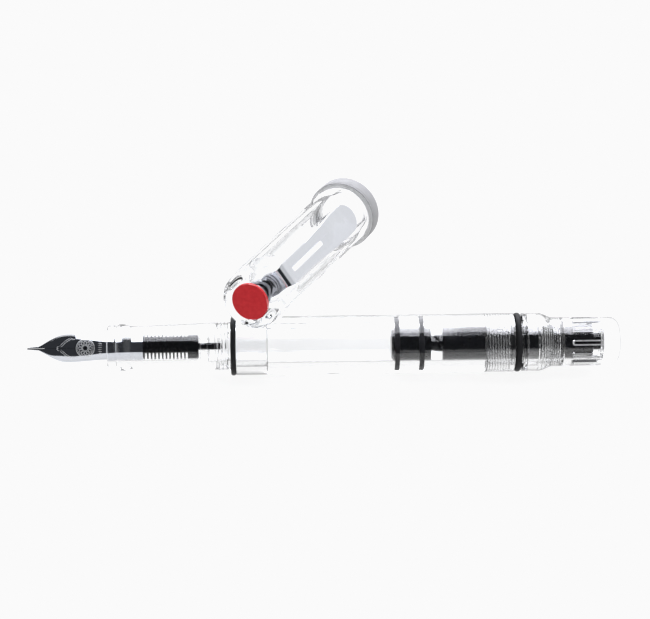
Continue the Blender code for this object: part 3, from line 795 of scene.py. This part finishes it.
def make_spindle():
    """The nut inside the guide, the drum with ten ribs, and its rear stub."""
    plastic = black_plastic("spindle_plastic")
    half, rib = 5.0, 0.5
    front, rear = ends("spindle")
    bore, neck, stub = 2.0, 3.0, 1.9
    bore_end, drum, drum_end = ends("piston_rod")[1] + 0.3, ends("rod_guide")[1] + 0.1, 124.7

    def ribbed(radius, station, angle):
        return radius + (rib if off_spline(angle) < radians(half + 0.1) else 0.0)

    outline = [(bore_end, 0), (bore_end, bore), (front, bore), (front, neck), (drum, neck)]
    outline += [(drum, SLEEVE - 0.08), (drum + 0.08, SLEEVE), (drum_end - 1.05, SLEEVE)]
    outline += [(drum_end - 0.95, SLEEVE, ribbed), (drum_end - 0.15, SLEEVE, ribbed)]
    outline += [(drum_end - 0.05, SLEEVE), (drum_end, SLEEVE - 0.1), (drum_end, stub)]
    outline += [(rear - 0.1, stub), (rear, stub - 0.1), (rear, 0)]
    place = rolled(PEN, KNOB_ROLL)
    nut = turned("drive_spindle", outline, place, plastic, angles=spline_angles(half), fillet=0.0)
    settle(nut, "spindle", "spindle")


def slotted(radius, station, angle):
    """The knob's bore with its ten slots, whose front ends are round."""
    depth, half = 0.75, radians(SLOT_HALF_ANGLE)
    from_nose = max(SLOT_FRONT + SLOT_NOSE - station, 0.0) / SLOT_NOSE
    open_half = half * sqrt(max(1 - from_nose ** 2, 0.0))
    return radius + (depth if off_spline(angle) <= open_half + 1e-4 else 0.0)


def make_knob():
    """The clear knob: threaded skirt, waist, ten round-ended spline slots, rounded end."""
    acrylic = clear_acrylic("knob_acrylic")
    bore, nut, seat, skirt, front, bore_end = 3.97, 4.85, 5.25, 6.4, 110.15, 127.0
    nose_stations = [SLOT_FRONT + SLOT_NOSE * step for step in (1.0, 0.6, 0.3, 0.1, 0.01)]
    outline = [(bore_end, 0), (bore_end, bore), (bore_end - 0.2, bore)]
    outline += [(station, bore, slotted) for station in (126.75, 125.0, 122.5, *nose_stations)]
    outline += [(SLOT_FRONT, bore), (118.4, bore), (118.2, 4.6), (117.6, nut)]
    outline += thread(117.5, 112.9, nut, KNOB_PITCH, 0.22)
    outline += [(112.8, nut), (112.55, seat), (front, seat), (front, skirt - 0.1), (front + 0.15, skirt)]
    skirt_end, waist_length, waist = 112.9, 3.2, 5.43
    for share in shares(16):
        outline.append((skirt_end + waist_length * share, smooth_step(skirt, waist, share)))
    rear, dome, end_radius = ends("knob")[1], 128.3, 5.37
    outline += [(118.0, 5.41), (dome, end_radius)]
    for share in shares(20)[1:-1]:
        angle = pi / 2 * share
        reach = end_radius * cos(angle) ** 0.42
        outline.append((dome + (rear - dome) * sin(angle) ** 0.9, reach))
    outline.append((rear, 0))
    knob = turned("filling_knob", outline, rolled(PEN, KNOB_ROLL), acrylic,
                  angles=spline_angles(SLOT_HALF_ANGLE), fillet=0.0, sharp=30)
    settle(knob, "knob", "knob")
    make_slot_highlights()


def make_slot_highlights():
    """Painted highlights: matt white strips round the floors of the knob's slots, for the bright lines at
    the slot walls.
    """
    low, high, half_line, rear = 4.5, 4.66, 0.14, 126.6
    reach = low * radians(SLOT_HALF_ANGLE) - half_line
    # each point has its station, its distance from the slot's middle, and its way outwards
    path = [(rear, reach, 0, 1)]
    for share in shares(12):
        angle = pi / 2 - pi * share
        ahead, across = cos(angle), sin(angle)
        station = SLOT_FRONT + SLOT_NOSE - (SLOT_NOSE - half_line) * ahead
        path.append((station, reach * across, -ahead, across))
    path.append((rear, -reach, 0, -1))
    build = bmesh.new()
    for i in range(SPLINES):
        middle = 2 * pi * i / SPLINES
        rings = []
        for station, across, out_along, out_across in path:
            ring = []
            for sign, radius in ((-1, low), (-1, high), (1, high), (1, low)):
                angle = middle + (across + sign * half_line * out_across) / low
                along = station + sign * half_line * out_along
                ring.append(build.verts.new(around(along, radius, angle)))
            rings.append(ring)
        bridge(build, rings)
    # painted highlight: matt white strips at the slot floors
    rims = finish_mesh("slot_highlights", build, rolled(PEN, KNOB_ROLL), matt_white("slot_highlight_white"))
    adorn(rims, "knob")


# ---- cap

CAP_FACETS = 144
BAND_FACETS = 160
SHELL_FLAT = 6.45
SHELL_CORNER = 7.2
SHELL_BORE = 5.65
SHELL_WALL_END = 12.0       # the shell is solid from the crown to here
DISC_RADIUS = 4.2
DISC_BACK = 0.78
CROWN_LENGTH = 5.2
CROWN_FULLNESS = 1.035      # the round shoulder stands a little over the hexagon's flats
FLARE_START = 50.7
BAND_START = 55.2
BAND_RADIUS = 8.1
BAND_BORE = 6.7
FLARE_RADIUS = 7.75


def cap_acrylic(name):
    """Clear acrylic whose low index keeps the cap's solid end clean and bright, with lighter painted shade
    at its rims.
    """
    return clear_acrylic(name, index=1.1, rim_shade_colour=0.6)


def hexagon(radius, station, angle):
    """A hexagon with bowed corners; radius is half its width across the flats."""
    sector = radians(60)
    off_flat = (angle + sector / 2) % sector - sector / 2
    limit = 1 / cos(sector / 2) - 1
    bow = (SHELL_CORNER / SHELL_FLAT - 1) / limit
    sharp = 1 / cos(off_flat) - 1
    rounded = limit * (1 - (1 - sharp / limit) ** 1.35)
    return radius * (1 + bow * min(sharp, rounded))


def make_crown():
    """The finial. The disc and the screw are bedded in it, and it is bonded to the shell."""
    face, rounding, socket = 5.05, 1.3, DISC_RADIUS - 0.02
    outline = [(DISC_BACK, 0), (DISC_BACK, socket), (0.0, socket), (0.0, face)]
    for share in shares(12)[1:]:
        angle = pi / 2 * share
        bulge = face + (SHELL_FLAT - face) * sin(angle)
        outline.append((rounding * (1 - cos(angle)), bulge, crown_blend))
    rest = CROWN_LENGTH - rounding
    outline += [(rounding + rest * share, SHELL_FLAT, crown_blend) for share in shares(12)[1:]]
    outline.append((CROWN_LENGTH, 0))
    acrylic = cap_acrylic("crown_acrylic")
    settle_turned("crown_finial", outline, acrylic, "cap", "crown", CAP_FACETS, 0.0)


def crown_blend(radius, station, angle):
    """Round at the crown's face, hexagonal at the shell."""
    share = smooth_step(0.0, 1.0, (station - 1.0) / 4.0)
    round_radius = radius * CROWN_FULLNESS
    return round_radius + (hexagon(radius, station, angle) - round_radius) * share


def make_crown_disc():
    """The red disc, and behind it a pale film whose reflections in the clear crown paint pale light there.
    """
    back, film_back = DISC_BACK + 0.02, DISC_BACK + 0.06
    outline = [(0.0, 0), (0.0, DISC_RADIUS - 0.2), (0.03, DISC_RADIUS - 0.08), (0.12, DISC_RADIUS)]
    outline += [(back, DISC_RADIUS), (back, 0)]
    settle_turned("red_disc", outline, red_inlay("disc_red"), "cap", "crown_disc", FINE, 0.0)
    # painted reflection: the crown reflects this pale film
    film = [(back, 0), (back, DISC_RADIUS - 0.05), (film_back, DISC_RADIUS - 0.1), (film_back, 0)]
    adorn(turned("disc_film", film, CAP, matt_white("film_painted_reflection"), FINE, fillet=0.0), "cap")


def make_crown_screw():
    """A satin screw: ribs from the disc to the clip with black rings of painted shade in the grooves
    between them, then its thread.
    """
    steel = polished_steel("screw_steel", (0.8, 0.8, 0.82), low=0.3, high=0.45)
    front, rear, tip = 0.85, 13.0, 1.5
    rib, root, pitch, groove, ribs = 2.4, 1.8, 1.1, 0.5, 4
    shade_radius, shade_root, gap = rib - 0.1, root - 0.1, 0.01
    outline = [(front, 0)]
    fill = []
    for i in range(ribs):
        start = front + pitch * i
        end = start + pitch - groove
        outline += [(start, root), (start, rib), (end, rib), (end, root)]
        shade_start, shade_end = end + gap, end + groove - gap
        fill += [(shade_start, shade_root), (shade_start, shade_radius)]
        fill += [(shade_end, shade_radius), (shade_end, shade_root)]
    outline += thread(5.3, SHELL_WALL_END, 1.42, 0.75, 0.3)
    outline += [(SHELL_WALL_END + 0.2, tip), (rear, tip), (rear, 0)]
    settle_turned("crown_screw_steel", outline, steel, "cap", "crown_screw", FINE, 0.05)
    # painted shade: black rubber rings fill the grooves between the ribs
    fill += [(fill[-1][0], root - 0.2), (fill[0][0], root - 0.2)]
    groove_shade = turned("screw_groove_shade", fill, CAP, black_rubber("groove_shade_black"), FINE, fillet=0.0)
    adorn(groove_shade, "cap")


def make_crown_o_ring():
    """A clear silicone ring round the screw's end."""
    middle, radius, half_width, half_height, steps = 12.5, 1.75, 0.3, 0.28, 20
    outline = []
    for i in range(steps):
        angle = 2 * pi * i / steps
        outline.append((middle + half_width * cos(angle), radius + half_height * sin(angle)))
    settle_turned("crown_ring", outline, cap_acrylic("crown_silicone"), "cap", "crown_o_ring", FINE, 0.0)


def flared(radius, station, angle):
    """The hexagon widens to a round mouth at the band."""
    share = smooth_step(0.0, 1.0, (station - FLARE_START) / (BAND_START - 0.6 - FLARE_START))
    start = hexagon(radius, station, angle)
    return start + (FLARE_RADIUS - start) * share


def make_cap_shell():
    """The clear hexagonal shell, solid at the crown end, with the mouth's thread."""
    start, mouth, spigot, flare = CROWN_LENGTH - 0.05, 59.0, BAND_BORE - 0.1, BAND_START - FLARE_START
    outline = [(start, 0), (start, SHELL_FLAT - 0.01, hexagon), (start + 0.2, SHELL_FLAT, hexagon)]
    outline += [(20.0, SHELL_FLAT, hexagon), (40.0, SHELL_FLAT, hexagon)]
    outline += [(FLARE_START + flare * share, SHELL_FLAT, flared) for share in shares(14)]
    outline += [(BAND_START, spigot), (mouth, spigot), (mouth, SHELL_BORE)]
    outline += thread(mouth - 0.3, BAND_START, SHELL_BORE, 0.8, -0.2)
    outline += [(54.9, SHELL_BORE), (SHELL_WALL_END, SHELL_BORE), (SHELL_WALL_END, 0)]
    acrylic = cap_acrylic("shell_acrylic")
    settle_turned("cap_shell_clear", outline, acrylic, "cap", "cap_shell", CAP_FACETS, 0.0)


def make_inner_cap():
    """The clear liner: a cup with its closed end towards the crown."""
    front, rear, wall_end, bevel = 13.2, 32.2, 14.3, 0.45
    radius, bore = SHELL_BORE - 0.1, 4.7
    outline = [(front, 0), (front, radius - bevel), (front + bevel, radius), (rear, radius)]
    outline += [(rear, bore), (wall_end, bore), (wall_end, 0)]
    settle_turned("cap_liner", outline, cap_acrylic("liner_acrylic"), "cap", "inner_cap")


def make_cap_band():
    """The lip band: satin steel with a turned groove and a rolled lip, and a pale matt ring over its front
    face, painted light in place of the steel face's dark reflection.
    """
    steel = polished_steel("band_steel", (0.46, 0.46, 0.467), (1, 0.15, 0.15), 0.82, 0.95)
    front, rear, rolled_lip = BAND_START - 0.05, 59.3, 0.25
    groove, groove_depth = 55.8, 0.07
    outline = [(front, BAND_BORE), (front, BAND_RADIUS - 0.1), (front + 0.1, BAND_RADIUS)]
    outline += [(groove, BAND_RADIUS), (groove + 0.07, BAND_RADIUS - groove_depth)]
    outline += [(groove + 0.17, BAND_RADIUS - groove_depth), (groove + 0.24, BAND_RADIUS)]
    outline += [(rear - rolled_lip, BAND_RADIUS), (rear, BAND_RADIUS - rolled_lip)]
    outline += [(rear, BAND_BORE + 0.15), (rear - 0.2, BAND_BORE)]
    settle_turned("lip_band", outline, steel, "cap", "cap_band", BAND_FACETS, 0.05)
    # painted light: a pale matt ring over the band's front face
    start, end, seam_bore = front - 0.07, front - 0.01, BAND_BORE + 0.05
    seam = [(start, seam_bore), (start, FLARE_RADIUS), (end, BAND_RADIUS - 0.12), (end, seam_bore)]
    painted_face = turned("band_front_painted_light", seam, CAP, matt_white("band_painted_light_white"), BAND_FACETS, fillet=0.0)
    adorn(painted_face, "cap")


CLIP_THICKNESS = 0.5
CLIP_RISE = 7.9             # height of the arm's inner face over the cap's axis
CLIP_END = 47.0
CLIP_TOE_WIDTH = 7.2
CLIP_SIDES = [2 * share - 1 for share in shares(30)]


def clip_half_width(station):
    """Parallel at first, then flared to a rounded toe."""
    flare = smooth_step(5.3, CLIP_TOE_WIDTH, (station - 16.0) / 24.0) / 2
    nose = CLIP_TOE_WIDTH / 2
    from_end = CLIP_END - station
    if from_end >= nose:
        return flare
    return min(flare, max(sqrt(max(nose ** 2 - (nose - from_end) ** 2, 0.0)), 0.25))


def clip_section(station, low, half_width):
    """Across the arm: a crowned sheet with a long shallow flute down its middle."""
    crown = 0.3
    flute = 0.16 * smooth_step(0, 1, (station - 8.5) / 1.5) * smooth_step(1, 0, (station - 27.0) / 5.0)
    top, bottom = [], []
    for side in CLIP_SIDES:
        across = side * half_width
        drop = crown * (across / 3.6) ** 2
        dip = flute * smooth_step(1, 0, (abs(across) - 0.55) / 0.3)
        ease = 0.22 * max(abs(side) - 0.93, 0.0) / 0.07
        top.append((station, across, low + CLIP_THICKNESS - drop - dip - ease))
        bottom.append((station, across, low - drop * 0.6 + ease * 0.5))
    return top + bottom[::-1]


def make_clip():
    """A ring round the screw, a bend at the crown's rim and the spring arm."""
    steel = polished_steel("clip_steel", (0.56, 0.575, 0.61), low=0.05, high=0.11)
    seat, hole, ring_radius, bend = CROWN_LENGTH + 0.06, 1.85, 3.0, 1.1
    back = seat + CLIP_THICKNESS
    ring = [(seat, hole), (seat, ring_radius), (back, ring_radius), (back, hole)]
    clip = turned("clip_spring", ring, CAP, steel, FINE, fillet=0.06)
    root, outer = 2.2, bend + CLIP_THICKNESS
    sections = [bent_section((seat, height), (back, height), root) for height in (2.4, 4.2, 6.2)]
    for share in shares(8):
        turn = pi / 2 * share
        along, across = cos(turn), sin(turn)
        near = (seat + outer * (1 - along), CLIP_RISE - bend + outer * across)
        far = (seat + outer - bend * along, CLIP_RISE - bend + bend * across)
        sections.append(bent_section(near, far, smooth_step(root, clip_half_width(10.0), share)))
    # the sections are closer at the rounded toe
    stations = [7.6 + 0.8 * i for i in range(45)] + [43.2, 43.8, 44.3, 44.8, 45.3, 45.7, 46.1, 46.4]
    stations += [46.65, 46.85, 46.97]
    for station in stations:
        low = smooth_step(CLIP_RISE, 7.25, (station - 30.0) / 12.0)
        low -= 0.12 * smooth_step(0, 1, (station - 41.0) / 2.0) * smooth_step(1, 0, (station - 44.0) / 3.0)
        sections.append(clip_section(station, low, clip_half_width(station)))
    arm = lofted("clip_arm", sections, CAP, steel)
    cut(clip, arm, "UNION")
    settle(clip, "cap", "clip")
    make_flute()


def make_flute():
    """The matt floor of the arm's long flute."""
    start, end, half_width = 8.7, 26.0, 0.5
    foot, top = CLIP_RISE + CLIP_THICKNESS - 0.2, CLIP_RISE + CLIP_THICKNESS - 0.06
    sections = []
    for share in shares(40):
        station = start + (end - start) * (1 - cos(pi * share)) / 2
        from_end = min(station - start, end - station) / half_width
        half = max(half_width * sqrt(max(1 - (1 - min(from_end, 1.0)) ** 2, 0.0)), 0.02)
        corners = ((-half, foot), (half, foot), (half, top), (-half, top))
        sections.append([(station, *corner) for corner in corners])
    adorn(lofted("clip_flute", sections, CAP, etched_steel("flute_steel")), "cap")


def bent_section(near, far, half_width):
    """A strip across the bend, from its outer face to its inner face."""
    outer = [(near[0], half_width * side, near[1]) for side in CLIP_SIDES]
    inner = [(far[0], half_width * side, far[1]) for side in CLIP_SIDES]
    return outer + inner[::-1]


# ---- studio

DARK_ROOM = (0.04, 0.042, 0.047)
BACKDROP = (1.15, 1.15, 1.15)
TENT_SIDES = (0.85, 0.85, 0.85)
SOFTBOX = (5.3, 5.35, 5.75)
PAPER_WHITE = 0.956         # the brightest tone that the picture shows
FLOOR_HALF_SIZE = 2500.0
BOUNCES = 24


def make_floor():
    """A pale table that glows a little, like the lit sweep of a product picture."""
    material, surface = shader(
        "light_table", (0.1, 0.1, 0.1), 0.9, Emission_Color=(1.0, 1.0, 1.0, 1.0), Emission_Strength=0.9
    )
    vary_roughness(surface, 0.85, 0.95, 0.02, 3.0)
    build = bmesh.new()
    bmesh.ops.create_grid(build, x_segments=2, y_segments=2, size=FLOOR_HALF_SIZE)
    finish_mesh("floor", build, Matrix(), material)


def make_light():
    """A studio sky: a big softbox from the zenith down behind the pen, a pale backdrop
    behind, and a dark room in front."""
    world = bpy.data.worlds.new("studio")
    bpy.context.scene.world = world
    world.use_nodes = True
    tree = world.node_tree
    direction = tree.nodes.new("ShaderNodeTexCoord").outputs["Generated"]

    def combine(operation, *values):
        """A vector or number node; values are sockets, numbers or triples."""
        vectors = operation in ("DOT_PRODUCT", "SCALE", "ADD")
        node = tree.nodes.new("ShaderNodeVectorMath" if vectors else "ShaderNodeMath")
        node.operation = operation
        for slot, value in enumerate(values):
            if operation == "SCALE" and slot == 1:
                slot = "Scale"
            if isinstance(value, bpy.types.NodeSocket):
                tree.links.new(value, node.inputs[slot])
            else:
                node.inputs[slot].default_value = value
        return node.outputs["Vector" if operation in ("SCALE", "ADD") else "Value"]

    def towards(vector, outside, inside):
        """One in a direction, and zero away from it."""
        return soft_edge(tree, combine("DOT_PRODUCT", direction, vector), outside, inside)

    front_edge = radians(10.0)
    past_zenith = towards((0, cos(front_edge), sin(front_edge)), -0.03, 0.03)
    sideways = combine("ABSOLUTE", combine("DOT_PRODUCT", direction, (1, 0, 0)))
    between_sides = soft_edge(tree, sideways, 0.5, 0.35)
    above_backdrop = towards((0, 0, 1), 0.12, 0.4)
    softbox = combine("MULTIPLY", combine("MULTIPLY", past_zenith, between_sides), above_backdrop)
    # its left part starts further back
    low_behind = towards((0, 0.71, -0.71), -0.1, 0.1)
    right_part = towards((1, 0, 0), -0.10, -0.05)
    softbox = combine("MULTIPLY", softbox, combine("MAXIMUM", low_behind, right_part))
    room = combine("SCALE", BACKDROP, towards((0, 1, -0.3), -0.15, 0.15))
    right_side = combine("SCALE", TENT_SIDES, towards((1, 0, 0), 0.2, 0.4))
    left_side = combine("SCALE", TENT_SIDES, towards((-1, 0, 0), 0.7, 0.85))
    sides = combine("ADD", right_side, left_side)
    in_front = towards((0, -1, 0.3), -0.15, 0.15)
    room = combine("ADD", room, combine("SCALE", sides, in_front))
    sky = combine("ADD", room, combine("SCALE", SOFTBOX, softbox))
    tree.links.new(combine("ADD", sky, DARK_ROOM), tree.nodes["Background"].inputs["Color"])


def make_camera():
    """Looks down at the pen from in front, from about half a metre."""
    elevation = radians(37.54)
    yaw = radians(1.54)
    distance = 494.1 * MM
    target = Vector((0.74, 21.28, 0.0)) * MM + Vector((0, PEN.translation.y, 0))
    level = cos(elevation)
    view = Vector((sin(yaw) * level, cos(yaw) * level, -sin(elevation)))
    data = bpy.data.cameras.new("camera")
    data.sensor_width = 36.0
    data.lens = 118.4
    data.clip_start = 0.01
    camera = bpy.data.objects.new("camera", data)
    bpy.context.scene.collection.objects.link(camera)
    camera.location = target - view * distance
    camera.rotation_euler = (camera.location - target).to_track_quat("Z", "Y").to_euler()
    camera.rotation_euler.rotate_axis("Z", radians(0.17))
    bpy.context.scene.camera = camera


def main():
    scene = bpy.context.scene
    display = scene.view_settings
    display.view_transform = "Standard"
    display.use_curve_mapping = True
    tone = display.curve_mapping
    tone.curves[3].points[1].location = (PAPER_WHITE, PAPER_WHITE)
    tone.extend = "HORIZONTAL"
    tone.update()
    scene.cycles.max_bounces = BOUNCES
    scene.cycles.transmission_bounces = BOUNCES
    scene.cycles.glossy_bounces = 8
    pen_makers = (
        make_nib, make_feed, make_section, make_o_rings, make_barrel, make_guide_collar,
        make_piston, make_rod_guide, make_spindle, make_knob,
    )
    cap_makers = (
        make_crown, make_crown_disc, make_crown_screw, make_crown_o_ring,
        make_cap_shell, make_inner_cap, make_clip, make_cap_band,
    )
    for make in (*pen_makers, *cap_makers, make_floor, make_light, make_camera):
        make()


main()
